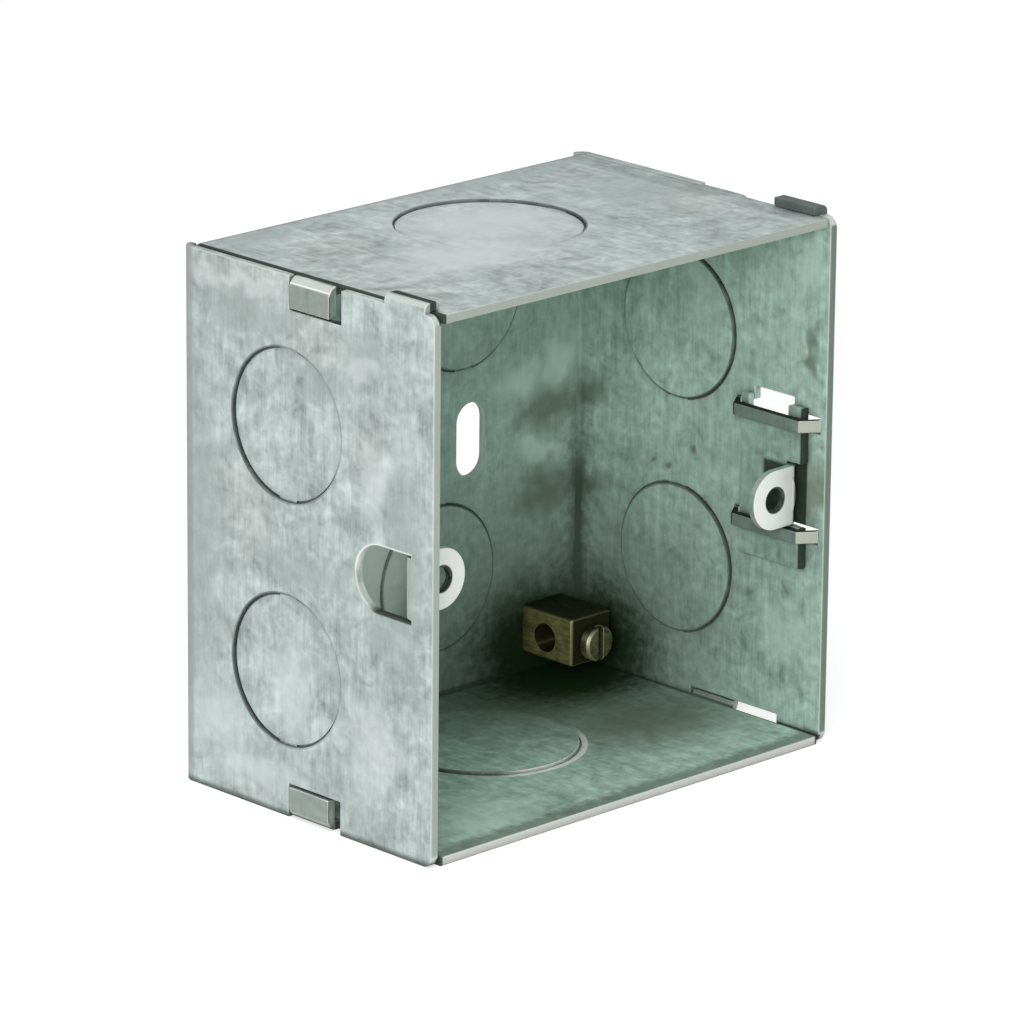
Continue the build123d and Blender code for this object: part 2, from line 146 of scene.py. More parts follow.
class Finish:
    """A material's node tree. Its calls return sockets, and a plain number may stand for any socket."""

    def __init__(self, name):
        self.material = bpy.data.materials.new(name)
        self.material.use_nodes = True
        self.tree = self.material.node_tree
        self.surface = self.tree.nodes["Principled BSDF"]
        coordinates = self.add("ShaderNodeTexCoord")
        self.place = self.vector("SCALE", coordinates.outputs["Object"], Scale=1 / MM)
        self.x, self.y, self.z = self.split(self.place)
        self.abs_x, self.abs_z = self.calc("ABSOLUTE", self.x), self.calc("ABSOLUTE", self.z)
        self.facing = self.split(coordinates.outputs["Normal"])
        self.nx, self.ny, self.nz = (self.calc("ABSOLUTE", part) for part in self.facing)

    def add(self, kind, **settings):
        node = self.tree.nodes.new(kind)
        for name, value in settings.items():
            setattr(node, name, value)
        return node

    def feed(self, socket, value):
        if isinstance(value, bpy.types.NodeSocket):
            self.tree.links.new(value, socket)
        else:
            socket.default_value = value

    def calc(self, operation, *values):
        node = self.add("ShaderNodeMath", operation=operation)
        for socket, value in zip(node.inputs, values):
            self.feed(socket, value)
        return node.outputs[0]

    def vector(self, operation, *values, **named):
        node = self.add("ShaderNodeVectorMath", operation=operation)
        for socket, value in zip(node.inputs, values):
            self.feed(socket, value)
        for name, value in named.items():
            self.feed(node.inputs[name], value)
        return node.outputs["Value" if operation in ("LENGTH", "DOT_PRODUCT") else "Vector"]

    def split(self, vector):
        node = self.add("ShaderNodeSeparateXYZ")
        self.feed(node.inputs[0], vector)
        return node.outputs

    def join(self, x, y, z=0.0):
        node = self.add("ShaderNodeCombineXYZ")
        for socket, value in zip(node.inputs, (x, y, z)):
            self.feed(socket, value)
        return node.outputs[0]

    def step(self, value, low, high, top=1.0):
        """0 at low, the top share at high and smooth between them, whichever of the two is larger."""
        node = self.add("ShaderNodeMapRange", interpolation_type="SMOOTHSTEP")
        self.feed(node.inputs["Value"], value)
        node.inputs["From Min"].default_value = low
        node.inputs["From Max"].default_value = high
        node.inputs["To Max"].default_value = top
        return node.outputs["Result"]

    def within(self, value, low, high, soft):
        """1 between low and high, falling to 0 over soft outside them."""
        return self.calc("MULTIPLY", self.step(value, low - soft, low), self.step(value, high + soft, high))

    def all_of(self, *shares):
        total = shares[0]
        for share in shares[1:]:
            total = self.calc("MULTIPLY", total, share)
        return total

    def any_of(self, *shares):
        total = shares[0]
        for share in shares[1:]:
            total = self.calc("MAXIMUM", total, share)
        return total

    def choose(self, share, low, high):
        """From one vector to another by a share."""
        node = self.add("ShaderNodeMix", data_type="VECTOR")
        self.feed(node.inputs["Factor"], share)
        self.feed(node.inputs[4], low)
        self.feed(node.inputs[5], high)
        return node.outputs[1]

    def lerp(self, share, low, high):
        """From one number to another by a share."""
        node = self.add("ShaderNodeMix", data_type="FLOAT")
        self.feed(node.inputs["Factor"], share)
        self.feed(node.inputs["A"], low)
        self.feed(node.inputs["B"], high)
        return node.outputs["Result"]

    def blend(self, share, low, high, strength=1.0):
        """From one colour to another by a share, of which only a part is used."""
        node = self.add("ShaderNodeMix", data_type="RGBA")
        self.feed(node.inputs["Factor"], share if strength == 1.0 else self.calc("MULTIPLY", share, strength))
        for socket, value in ((node.inputs[6], low), (node.inputs[7], high)):
            self.feed(socket, value if isinstance(value, bpy.types.NodeSocket) else (*value, 1.0))
        return node.outputs[2]

    def noise(self, place, scale, detail, roughness=0.55, distortion=0.0):
        """The outputs of a noise texture, a share and a colour."""
        node = self.add("ShaderNodeTexNoise", noise_dimensions="3D")
        self.feed(node.inputs["Vector"], place)
        for name, value in (
            ("Scale", scale), ("Detail", detail), ("Roughness", roughness), ("Distortion", distortion),
        ):
            node.inputs[name].default_value = value
        return node.outputs

    def crevice(self, reach, low, high):
        """1 in a crack or an inner corner and 0 on an open face."""
        node = self.add("ShaderNodeAmbientOcclusion", samples=1)
        node.inputs["Distance"].default_value = reach * MM
        return self.step(self.calc("SUBTRACT", 1.0, node.outputs["AO"]), low, high)

    def sharp_edge(self):
        """1 on a rolled edge or a fold and 0 on a face that lies along two axes."""
        return self.step(self.any_of(self.nx, self.ny, self.nz), 0.97, 0.90)

    def loosen(self, scale, reach):
        """The place pushed about unevenly, so that what is laid out on it gets a ragged border."""
        push = self.noise(self.place, scale, 1.0, 0.65)["Color"]
        shifted = self.vector("SUBTRACT", self.place, (reach / 2,) * 3)
        return self.split(self.vector("MULTIPLY_ADD", push, (reach,) * 3, shifted))

    def patches(self, flat, strength, *places):
        """The strength in oval patches of a flat face, given by middles and half sizes, fading outwards."""
        nearest = None
        for middle, half in places:
            scale = (1 / half[0], 1 / half[1], 0.0)
            shift = (-middle[0] / half[0], -middle[1] / half[1], 0.0)
            away = self.vector("LENGTH", self.vector("MULTIPLY_ADD", flat, scale, shift))
            nearest = away if nearest is None else self.calc("MINIMUM", away, nearest)
        return self.step(nearest, 1.6, 0.25, strength)

    def cover(self, colour, roughness, metallic, specular, dirt_and_shade):
        """Feeds the surface, which has no metal and hardly a shine where dirt and painted shade darken it."""
        for name, value in (
            ("Base Color", colour), ("Roughness", roughness), ("Metallic", self.lerp(dirt_and_shade, metallic, 0.0)),
            ("Specular IOR Level", self.lerp(dirt_and_shade, specular, 0.05)),
        ):
            self.feed(self.surface.inputs[name], value)

    def bump(self, height, depth, strength):
        node = self.add("ShaderNodeBump")
        self.feed(node.inputs["Height"], height)
        node.inputs["Distance"].default_value = depth * MM
        node.inputs["Strength"].default_value = strength
        self.feed(self.surface.inputs["Normal"], node.outputs[0])


def zinc_finish(name):
    """Hot-dip zinc on rolled sheet: streaks along the roll, smudges, a fine grain and a greener inside."""
    outer_tones = (0.435, 0.497, 0.484), (0.475, 0.495, 0.475)
    inner_tones = (0.42, 0.575, 0.503), (0.325, 0.428, 0.37)
    roll_stretch, inside_layer, darkest = 0.08, 60.0, 0.25
    zinc = Finish(name)
    on_side, on_end = zinc.step(zinc.nx, 0.6, 0.8), zinc.step(zinc.nz, 0.6, 0.8)

    # Half way through the sheet the outside turns into the inside
    zinc.inside = zinc.all_of(
        zinc.step(zinc.any_of(zinc.abs_x, zinc.abs_z), WALL_OUT - 0.55, WALL_OUT - 0.75),
        zinc.step(zinc.y, -0.45, -0.75),
    )

    # Place on the flat blank, so that the streaks run on round the folds
    beyond = zinc.calc("SUBTRACT", WALL_OUT, zinc.y)
    across = zinc.lerp(on_side, zinc.x, zinc.calc("MULTIPLY", zinc.calc("SIGN", zinc.x), beyond))
    along = zinc.lerp(on_end, zinc.z, zinc.calc("MULTIPLY", zinc.calc("SIGN", zinc.z), beyond))
    layer = zinc.calc("MULTIPLY", zinc.inside, inside_layer)
    blank = zinc.join(across, along, layer)
    rolled = zinc.join(across, zinc.calc("MULTIPLY", along, roll_stretch), layer)

    zinc.streaks = zinc.noise(rolled, 0.9, 2.0, 0.65)[0]
    hair = zinc.noise(rolled, 3.4, 1.0, 0.5)[0]
    zinc.clouds = zinc.noise(blank, 0.09, 2.0, 0.55, 1.6)[0]
    blotch = zinc.noise(blank, 0.26, 2.0, 0.6, 1.2)[0]
    zinc.grain = zinc.noise(blank, 0.75, 2.0, 0.6)[0]
    weighed = (zinc.streaks, 0.62), (hair, 0.35), (zinc.clouds, 1.0), (blotch, 0.9), (zinc.grain, 0.59)
    tone = 1.0 - 0.5 * sum(weight for texture, weight in weighed)
    for texture, weight in weighed:
        tone = zinc.calc("MULTIPLY_ADD", texture, weight, tone)

    warm = zinc.step(zinc.noise(blank, 0.05, 1.0)[0], 0.5, 0.7)
    outer = zinc.blend(warm, *outer_tones, 0.5)
    inner = zinc.blend(zinc.step(zinc.clouds, 0.5, 0.62), *inner_tones, 0.6)
    plain = zinc.blend(zinc.inside, outer, inner)
    zinc.colour = zinc.vector("SCALE", plain, Scale=zinc.calc("MAXIMUM", tone, darkest))
    return zinc


zinc = zinc_finish("galvanised_sheet")
colour = zinc.colour

# Handling marks: pale or dull patches of each face, as middles and half sizes. Some dull patches inside are
# painted shade.
PALE_OUTSIDE, DULL_OUTSIDE = (0.62, 0.67, 0.66), (0.36, 0.42, 0.405)
PALE_INSIDE, DULL_INSIDE = (0.58, 0.72, 0.65), (0.125, 0.145, 0.10)
BACK_TONE, PALE_BACK_TONE, FLOOR_FRONT_SHADE = (0.30, 0.38, 0.325), (0.88, 0.90, 0.88), (0.13, 0.16, 0.13)
OUTER_SKIN = (WALL_OUT - 0.85, WALL_OUT - 0.6)
INNER_SKIN = (WALL_IN - 0.6, WALL_IN - 0.2)


def mirrored_step(value, limits):
    """A step at the same limits on the minus side."""
    return zinc.step(value, -limits[0], -limits[1])


loose_x, loose_y, loose_z = zinc.loosen(0.24, 6.3)
side_flat, end_flat = zinc.join(loose_y, loose_z), zinc.join(loose_x, loose_y)
back_flat = zinc.join(loose_x, loose_z)
on_left_wall = mirrored_step(zinc.x, OUTER_SKIN)
on_back_inside = zinc.all_of(zinc.inside, zinc.step(zinc.y, -FOLD - 0.8, -FOLD - 0.2))
on_floor_inside = zinc.all_of(zinc.inside, mirrored_step(zinc.z, INNER_SKIN))
left_wall, top_wall = (side_flat, on_left_wall), (end_flat, zinc.step(zinc.z, *OUTER_SKIN))
back_inside, floor_inside = (back_flat, on_back_inside), (end_flat, on_floor_inside)
right_inside = (side_flat, zinc.all_of(zinc.inside, zinc.step(zinc.x, *INNER_SKIN)))


def marked(colour, face, mark, strength, *places):
    """The colour with a face's marks of one tone."""
    flat, on_face = face
    return zinc.blend(zinc.all_of(zinc.patches(flat, strength, *places), on_face), colour, mark)


colour = marked(
    colour, left_wall, DULL_OUTSIDE, 0.65,
    ((-12.7, 29.5), (9.0, 2.6)), ((-34.6, 28.0), (4.6, 3.2)), ((-23.0, -2.4), (8.5, 1.9)),
    ((-38.4, -7.7), (2.6, 2.6)), ((-28.7, -14.7), (3.8, 1.5)), ((-3.4, 0.0), (4.8, 22.0)),
    ((-25.0, 23.0), (4.0, 2.6)), ((-41.5, 2.0), (3.4, 17.0)),
)
colour = marked(
    colour, left_wall, PALE_OUTSIDE, 0.6,
    ((-11.7, 33.2), (9.5, 1.4)), ((-34.0, 26.5), (3.6, 1.2)), ((-36.0, 12.0), (2.4, 4.5)),
    ((-7.0, -25.5), (5.5, 5.0)), ((-20.7, -18.5), (3.4, 7.0)), ((-36.0, -23.0), (5.0, 6.0)),
    ((-14.0, -31.5), (10.0, 2.4)),
)
colour = marked(
    colour, top_wall, DULL_OUTSIDE, 0.6,
    ((25.5, -20.0), (8.0, 10.0)), ((-25.5, -4.5), (8.0, 2.6)), ((17.0, -3.5), (12.0, 2.0)),
)
colour = marked(
    colour, top_wall, PALE_OUTSIDE, 0.8, ((-10.0, -28.0), (15.0, 7.0)), ((0.5, -18.0), (12.0, 10.0)),
)
colour = zinc.blend(on_back_inside, colour, BACK_TONE, 0.35)
colour = marked(
    colour, back_inside, DULL_INSIDE, 0.7,
    ((28.5, 1.8), (6.0, 2.8)), ((29.0, -10.0), (6.0, 3.2)), ((22.0, -28.5), (3.0, 5.5)),
    ((-7.0, 21.5), (3.0, 5.0)),
)
colour = marked(
    colour, back_inside, PALE_INSIDE, 0.75,
    ((31.5, 7.6), (3.6, 3.4)), ((23.0, 6.2), (3.6, 2.4)), ((29.0, -22.5), (1.7, 3.0)),
    ((27.5, -4.3), (3.2, 1.5)),
)
# A near-white patch on the inside of the back, left of and below its middle.
pale_back_patch = zinc.all_of(zinc.patches(back_flat, 1.0, ((-4.5, -15.5), (7.0, 9.0))), on_back_inside)
colour = zinc.blend(pale_back_patch, colour, PALE_BACK_TONE, 0.85)
# The patch at the right wall's front rim beside the lug is painted shade; the other dull patches are marks.
colour = marked(
    colour, right_inside, DULL_INSIDE, 0.7,
    ((-3.6, 3.8), (3.4, 2.2)), ((-3.0, -10.4), (3.0, 2.6)), ((-15.4, -3.8), (0.5, 0.4)),
    ((-18.1, -3.1), (0.5, 0.4)), ((-23.3, -0.9), (0.8, 0.4)), ((-44.5, 16.7), (0.9, 3.2)),
    ((-44.9, -1.5), (1.9, 5.2)),
)
colour = marked(colour, right_inside, DULL_INSIDE, 0.13, ((-22.0, -12.0), (18.0, 18.0)))
colour = marked(
    colour, right_inside, PALE_INSIDE, 0.55,
    ((-40.5, -21.5), (4.8, 3.2)), ((-43.6, 29.0), (2.2, 3.4)), ((-24.0, 22.5), (3.6, 5.5)),
)
colour = marked(
    colour, floor_inside, DULL_INSIDE, 0.75,
    ((15.0, -11.0), (14.0, 10.0)), ((22.0, -27.0), (12.0, 9.0)), ((-30.5, -26.0), (4.0, 5.0)),
)
colour = marked(colour, floor_inside, PALE_INSIDE, 0.45, ((-21.0, -38.0), (9.0, 8.0)))
# Painted shade in a ragged band along the front of the floor inside.
ragged_y = zinc.calc("MULTIPLY_ADD", zinc.grain, 2.0, zinc.y)
shaded_floor_front = zinc.all_of(on_floor_inside, zinc.step(ragged_y, FRONT_Y + 4.4, FRONT_Y + 2.4))
colour = zinc.blend(shaded_floor_front, colour, FLOOR_FRONT_SHADE, 0.65)

# Folds and edges: duller on the back's folds, and lighter on cut edges and folds, partly worn bare and partly
# a painted highlight
DULL_FOLD_TONE, BRIGHT_EDGE_AND_HIGHLIGHT = (0.30, 0.34, 0.325), (0.60, 0.63, 0.58)
LEFT_RIM, RIGHT_RIM, LOWER_RIM = (0.39, 0.43, 0.375), (0.15, 0.20, 0.16), (0.68, 0.69, 0.66)
TAB_HIGHLIGHT, TAB_FACE_TONE = (0.92, 0.94, 0.92), (0.22, 0.25, 0.22)
LIP_TONE, LOWER_EDGE_SHADE = (0.06, 0.08, 0.07), (0.09, 0.115, 0.10)
LIT_EAR_TONE, SHADE_AND_GRIME = (0.80, 0.82, 0.78), (0.022, 0.030, 0.022)
back_fold = zinc.all_of(
    zinc.step(zinc.y, -FOLD - 0.8, -FOLD - 0.1), zinc.calc("SUBTRACT", 1.0, zinc.inside),
    zinc.step(zinc.ny, 0.96, 0.8),
)
colour = zinc.blend(back_fold, colour, DULL_FOLD_TONE, 0.65)
# Cut edges and folds are lighter, partly worn bare and partly a painted highlight.
edge = zinc.all_of(zinc.sharp_edge(), zinc.step(zinc.y, -FOLD - 0.1, -FOLD - 0.6))
colour = zinc.blend(edge, colour, BRIGHT_EDGE_AND_HIGHLIGHT, 0.8)
front_rim = zinc.all_of(
    zinc.step(zinc.y, FRONT_Y + 0.12, FRONT_Y + 0.04), zinc.step(zinc.facing[1], -0.85, -0.95)
)
rim_tone = zinc.blend(zinc.step(zinc.x, WALL_IN - 0.8, WALL_IN - 0.2), LEFT_RIM, RIGHT_RIM)
rim_tone = zinc.blend(zinc.step(zinc.z, -WALL_IN + 0.6, -WALL_IN + 0.1), rim_tone, LOWER_RIM)
colour = zinc.blend(front_rim, colour, rim_tone, 0.9)
tab = zinc.step(zinc.abs_x, WALL_OUT + 0.03, WALL_OUT + 0.1)
# A painted highlight on the tabs' bends and edges that face up.
tab_highlight = zinc.all_of(tab, zinc.sharp_edge(), zinc.step(zinc.facing[2], 0.05, 0.3))
colour = zinc.blend(tab_highlight, colour, TAB_HIGHLIGHT, 0.9)
tab_face = zinc.all_of(tab, zinc.step(zinc.nx, 0.9, 0.97))
colour = zinc.blend(tab_face, colour, TAB_FACE_TONE, 0.7)
dark_tab_ends = zinc.all_of(tab, zinc.step(zinc.facing[1], -0.3, -0.6))
right_lip = zinc.all_of(
    zinc.step(zinc.z, WALL_OUT - 0.05, WALL_OUT + 0.1), zinc.step(zinc.x, RIGHT_LIP_X, RIGHT_LIP_X + 1.0)
)
colour = zinc.blend(right_lip, colour, LIP_TONE, 0.85)
# Painted shade along the left wall's lower edge.
shaded_lower_edge = zinc.all_of(zinc.step(zinc.z, -WALL_IN - 0.1, -WALL_OUT + 0.2), on_left_wall)
colour = zinc.blend(shaded_lower_edge, colour, LOWER_EDGE_SHADE, 0.75)
from_ear_hole = zinc.vector("LENGTH", zinc.join(zinc.calc("ADD", zinc.x, EAR_HOLE["x"]), zinc.z))
on_ear = zinc.all_of(
    zinc.within(zinc.y, EAR["front_y"] - 0.1, EAR["back_y"] + 0.1, 0.1),
    zinc.within(zinc.x, -WALL_IN + 0.4, EAR["tip_x"] + 1.1, 0.3),
)
# The fixed ear's front face is painted bright as lit.
lit_ear_face = zinc.all_of(on_ear, zinc.step(zinc.facing[1], -0.5, -0.8))
colour = zinc.blend(lit_ear_face, colour, LIT_EAR_TONE, 0.9)
ear_hole_shade = zinc.all_of(on_ear, zinc.step(from_ear_hole, *EAR_HOLE["shade"]))
colour = zinc.blend(ear_hole_shade, colour, SHADE_AND_GRIME, 0.95)

# Dirt and painted shade in the shear lines, darker on the shaded side of each knock-out
LINE_DIRT_AND_SHADE, ARC_HIGHLIGHT = (0.07, 0.09, 0.08), (0.90, 0.93, 0.90)
BACK_SHADE_WAY, END_SHADE_WAY, SIDE_SHADE_WAY = (0.5, -0.3, 0.0), (0.95, 0.2), (-0.92, -0.1)
OUTER_LEAST, INNER_LEAST, END_LEAST = 0.5, 0.85, 0.1
LINE_FADE = (0.30, 0.10)
SHEET_SKIN = (WALL_IN - 0.9, WALL_IN - 0.6)
on_side_sheet, on_end_sheet = zinc.step(zinc.abs_x, *SHEET_SKIN), zinc.step(zinc.abs_z, *SHEET_SKIN)
end_y = zinc.calc("ADD", zinc.y, END_KNOCKOUT["depth"])
from_lower = zinc.vector("SUBTRACT", zinc.join(zinc.x, zinc.z), (*BACK_KNOCKOUT["lower"], 0.0))
from_upper = zinc.vector("SUBTRACT", zinc.join(zinc.abs_x, zinc.z), (*BACK_KNOCKOUT["upper"], 0.0))
from_side = zinc.vector(
    "ADD", zinc.join(zinc.y, zinc.abs_z), (SIDE_KNOCKOUT["depth"], -SIDE_KNOCKOUT["level"], 0.0)
)
from_disc = zinc.choose(zinc.step(zinc.z, 0.9, 1.1), from_lower, from_upper)
from_disc = zinc.choose(on_end_sheet, from_disc, zinc.join(zinc.x, end_y))
from_disc = zinc.choose(on_side_sheet, from_disc, from_side)


def shade_way_of(value, shade_way):
    """The way towards the shaded side of a wall's disc, turned over on the minus side."""
    return zinc.join(zinc.calc("MULTIPLY", zinc.calc("SIGN", value), shade_way[0]), shade_way[1])


shade_way = zinc.choose(on_end_sheet, BACK_SHADE_WAY, shade_way_of(zinc.z, END_SHADE_WAY))
shade_way = zinc.choose(on_side_sheet, shade_way, shade_way_of(zinc.x, SIDE_SHADE_WAY))
disc_radius = zinc.lerp(on_end_sheet, SIDE_KNOCKOUT["radius"], END_KNOCKOUT["radius"])
off_line = zinc.calc("SUBTRACT", zinc.vector("LENGTH", from_disc), disc_radius)
toward_shade = zinc.calc("DIVIDE", zinc.vector("DOT_PRODUCT", from_disc, shade_way), disc_radius)
least = zinc.lerp(on_end_sheet, zinc.lerp(zinc.inside, OUTER_LEAST, INNER_LEAST), END_LEAST)
# The shear lines are partly dirt and partly painted shade, darkest towards each disc's shaded side.
line = zinc.all_of(
    zinc.step(zinc.calc("ABSOLUTE", off_line), *LINE_FADE),
    zinc.lerp(zinc.step(toward_shade, -0.7, 0.7), least, 1.0),
    zinc.lerp(zinc.step(zinc.clouds, 0.36, 0.58), 0.6, 1.0),
    zinc.lerp(pale_back_patch, 1.0, 0.1),
)
colour = zinc.blend(line, colour, LINE_DIRT_AND_SHADE, 0.85)
# A painted highlight on the near arc of the floor's knock-out.
arc_highlight = zinc.all_of(
    zinc.within(off_line, 0.0, 1.0, 0.25),
    zinc.step(zinc.calc("MULTIPLY_ADD", zinc.x, -0.35, end_y), -7.0, -11.0),
    zinc.inside, zinc.step(zinc.z, -WALL_IN + 0.8, -WALL_IN + 0.5),
)
colour = zinc.blend(arc_highlight, colour, ARC_HIGHLIGHT, 0.9)

# Painted shade, with some grime, in the seams, the tab slits, the ear window's lower edge and the inner
# folds, and a painted highlight on the window's upper edge
WINDOW_HIGHLIGHT = (0.78, 0.80, 0.78)
WALL_SKIN = (WALL_IN - 0.8, WALL_IN - 0.4)
on_left_sheet = mirrored_step(zinc.x, WALL_SKIN)
# Painted shade in the seams of the top and bottom with the side walls, and in the tab slits.
end_seam = zinc.all_of(
    zinc.within(zinc.abs_x, WALL_IN - 0.65, WALL_IN + 0.15, 0.3),
    zinc.step(zinc.abs_z, WALL_IN - 0.2, WALL_IN + 0.1), zinc.step(zinc.y, -0.6, -1.6),
)
tab_slit = zinc.all_of(
    zinc.within(zinc.y, TAB_SLIT["front_y"], TAB_SLIT["back_y"], 0.1),
    zinc.step(zinc.abs_z, TAB_SLIT["low_z"] - 0.3, TAB_SLIT["low_z"]),
    on_left_sheet, zinc.step(zinc.nx, 0.9, 0.6),
)
past_round = zinc.calc("MAXIMUM", zinc.calc("SUBTRACT", zinc.y, EAR_WINDOW["round_y"]), 0.0)
from_window = zinc.vector("LENGTH", zinc.join(past_round, zinc.z))
off_window = zinc.calc("ABSOLUTE", zinc.calc("SUBTRACT", from_window, EAR_WINDOW["radius"]))
window_wall = zinc.all_of(
    zinc.step(off_window, 0.4, 0.15), on_left_sheet,
    zinc.step(zinc.y, EAR_WINDOW["front_y"] - 0.3, EAR_WINDOW["front_y"]),
)
# Painted shade on the window's lower edge and a painted highlight on its upper edge.
window_shade = zinc.all_of(window_wall, zinc.step(zinc.z, -0.8, -3.2), zinc.step(zinc.y, -34.8, -36.8))
window_highlight = zinc.all_of(window_wall, zinc.step(zinc.z, -0.4, 1.2), on_left_wall)
colour = zinc.blend(window_highlight, colour, WINDOW_HIGHLIGHT, 0.9)
# Painted shade in the inner folds, darker towards the bottom.
inner_fold = zinc.all_of(
    zinc.inside, zinc.step(zinc.any_of(zinc.abs_x, zinc.abs_z), WALL_IN - 0.7, WALL_IN - 0.4),
    zinc.step(zinc.y, -FOLD - 0.15, -FOLD + 0.2), zinc.lerp(zinc.step(zinc.z, -3.0, -12.0), 0.1, 1.0),
)
# Painted shade in cracks and inner corners, from an occlusion test.
crack = zinc.crevice(1.1, 0.5, 0.9)
# The painted shade is mostly left off the right wall's top seam, the upper part of its back fold and the pale
# back patch.
spared_fold = zinc.all_of(zinc.step(zinc.y, -FOLD - 1.2, -FOLD - 0.7), zinc.step(zinc.z, -12.0, -3.0))
spared_seam = zinc.all_of(
    zinc.step(zinc.x, WALL_IN - 1.8, WALL_IN - 1.3),
    zinc.any_of(zinc.step(zinc.z, WALL_IN - 0.8, WALL_IN - 0.3), spared_fold),
)
seam_shade = zinc.all_of(zinc.any_of(crack, end_seam), zinc.lerp(zinc.any_of(spared_seam, pale_back_patch), 1.0, 0.15))
# The darkened places are mostly painted shade, with some grime, and the tabs' front ends are dark too.
shade_and_grime = zinc.any_of(seam_shade, tab_slit, window_shade, inner_fold, dark_tab_ends)
colour = zinc.blend(shade_and_grime, colour, SHADE_AND_GRIME, 0.93)

# Painted shade with some grime round the terminal, grime in the corner above it, and painted shade and a
# painted highlight where the lug slides
HAZE_TONE, POOL_TONE, CORNER_TONE = (0.12, 0.16, 0.12), (0.009, 0.021, 0.006), (0.05, 0.07, 0.05)
STRAP_SHADE_TONE, STRAP_FRONT_HIGHLIGHT, SHADE_STRIP_TONE = (0.10, 0.125, 0.10), (0.42, 0.43, 0.36), (0.014, 0.022, 0.014)
POOL_MIDDLE, POOL_SQUEEZE = (27.5, -6.5, -31.5), (0.8, 1.0, 1.15)
SHADE_STRIP = {"front_y": -43.6, "back_y": -41.6, "low_z": -6.6, "high_z": 7.0}
# Painted shade with some grime round the terminal: near black close in and a haze further out.
from_middle = zinc.vector("SUBTRACT", zinc.place, POOL_MIDDLE)
from_pool = zinc.vector("LENGTH", zinc.vector("MULTIPLY", from_middle, POOL_SQUEEZE))
ragged = zinc.calc("MULTIPLY_ADD", zinc.grain, 5.0, from_pool)
pool = zinc.all_of(zinc.step(ragged, 20.0, 9.0), zinc.inside)
haze = zinc.all_of(zinc.step(ragged, 42.0, 12.0), zinc.inside)
colour = zinc.blend(haze, colour, HAZE_TONE, 0.6)
colour = zinc.blend(pool, colour, POOL_TONE, 0.98)
to_corner = zinc.calc("SUBTRACT", zinc.calc("SUBTRACT", WALL_IN - SHEET, zinc.x), zinc.y)
corner_grime = zinc.all_of(
    zinc.step(zinc.calc("MULTIPLY_ADD", zinc.grain, 3.0, to_corner), 5.0, 1.2),
    zinc.step(zinc.z, 12.0, -12.0), zinc.inside,
)
colour = zinc.blend(corner_grime, colour, CORNER_TONE, 0.75)
# Painted shade in a strip of the wall just beside the lug's ear.
shade_strip = zinc.all_of(
    zinc.within(zinc.y, SHADE_STRIP["front_y"], SHADE_STRIP["back_y"], 0.35),
    zinc.within(zinc.z, SHADE_STRIP["low_z"], SHADE_STRIP["high_z"], 0.8), zinc.step(zinc.x, WALL_IN - 0.5, WALL_IN - 0.2),
)
strap_half = STRAP["height"] / 2 + 0.15
front_leg_y, back_leg_y = STRAP["front_y"] + STRAP["leg"], STRAP["back_y"] - STRAP["leg"]
on_strap = zinc.all_of(
    zinc.inside, zinc.step(zinc.x, WALL_IN - 0.05, WALL_IN - 0.2),
    zinc.within(zinc.abs_z, STRAP["z"] - strap_half, STRAP["z"] + strap_half, 0.1),
    zinc.within(zinc.y, STRAP["front_y"] - 0.3, STRAP["back_y"] + 0.2, 0.1),
)
front_leg = zinc.all_of(on_strap, zinc.step(zinc.y, front_leg_y + 0.2, front_leg_y - 0.1))
back_leg = zinc.step(zinc.y, back_leg_y - 0.5, back_leg_y)
strap_shade = zinc.all_of(on_strap, zinc.any_of(zinc.step(zinc.facing[2], 0.4, 0.7), back_leg))
# Painted shade on the straps, darkest on their upward faces and back legs, and a painted highlight on their
# front legs.
colour = zinc.blend(on_strap, colour, STRAP_SHADE_TONE, 0.7)
colour = zinc.blend(front_leg, colour, STRAP_FRONT_HIGHLIGHT, 0.85)
colour = zinc.blend(zinc.any_of(shade_strip, strap_shade), colour, SHADE_STRIP_TONE, 0.95)

DARKENED_ROUGHNESS = 0.85
# Where dirt and painted shade darken the zinc, it is rough and has hardly a shine.
dirt_and_shade = zinc.any_of(shade_and_grime, pool, shade_strip, strap_shade)
roughness = zinc.lerp(zinc.any_of(edge, lit_ear_face), zinc.lerp(zinc.streaks, 0.58, 0.82), 0.45)
zinc.cover(colour, zinc.lerp(dirt_and_shade, roughness, DARKENED_ROUGHNESS), 0.35, 0.3, dirt_and_shade)
zinc.bump(zinc.grain, 0.03, 0.6)

shell = merged_copy("box_shell", "folded_box")
set_bore(
    shell.data, -EAR_HOLE["x"], 0.0, EAR_HOLE["drill"], EAR_HOLE["tapped"], EAR["front_y"], EAR["back_y"]
)
roll_edges(shell.data, EDGE_ROLL, lambda middle: not near_shear_line(middle))
roll_edges(shell.data, SHEAR_ROLL, near_shear_line)
shade(shell, zinc.material)
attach(shell, "box")
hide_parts("box_shell")


# Tapped thread of the fixed ear
# The ear is tapped for the plate screw, a fine thread of about two turns in the sheet's thickness. The ridge
# stands out from the tapped bore and ends flush with the drilled one.
THREAD_DEPTH = EAR_HOLE["tapped"] - EAR_HOLE["drill"]
EAR_PITCH = 0.6
POINTS_PER_TURN, POINTS_ROUND_RIDGE = 40, 4


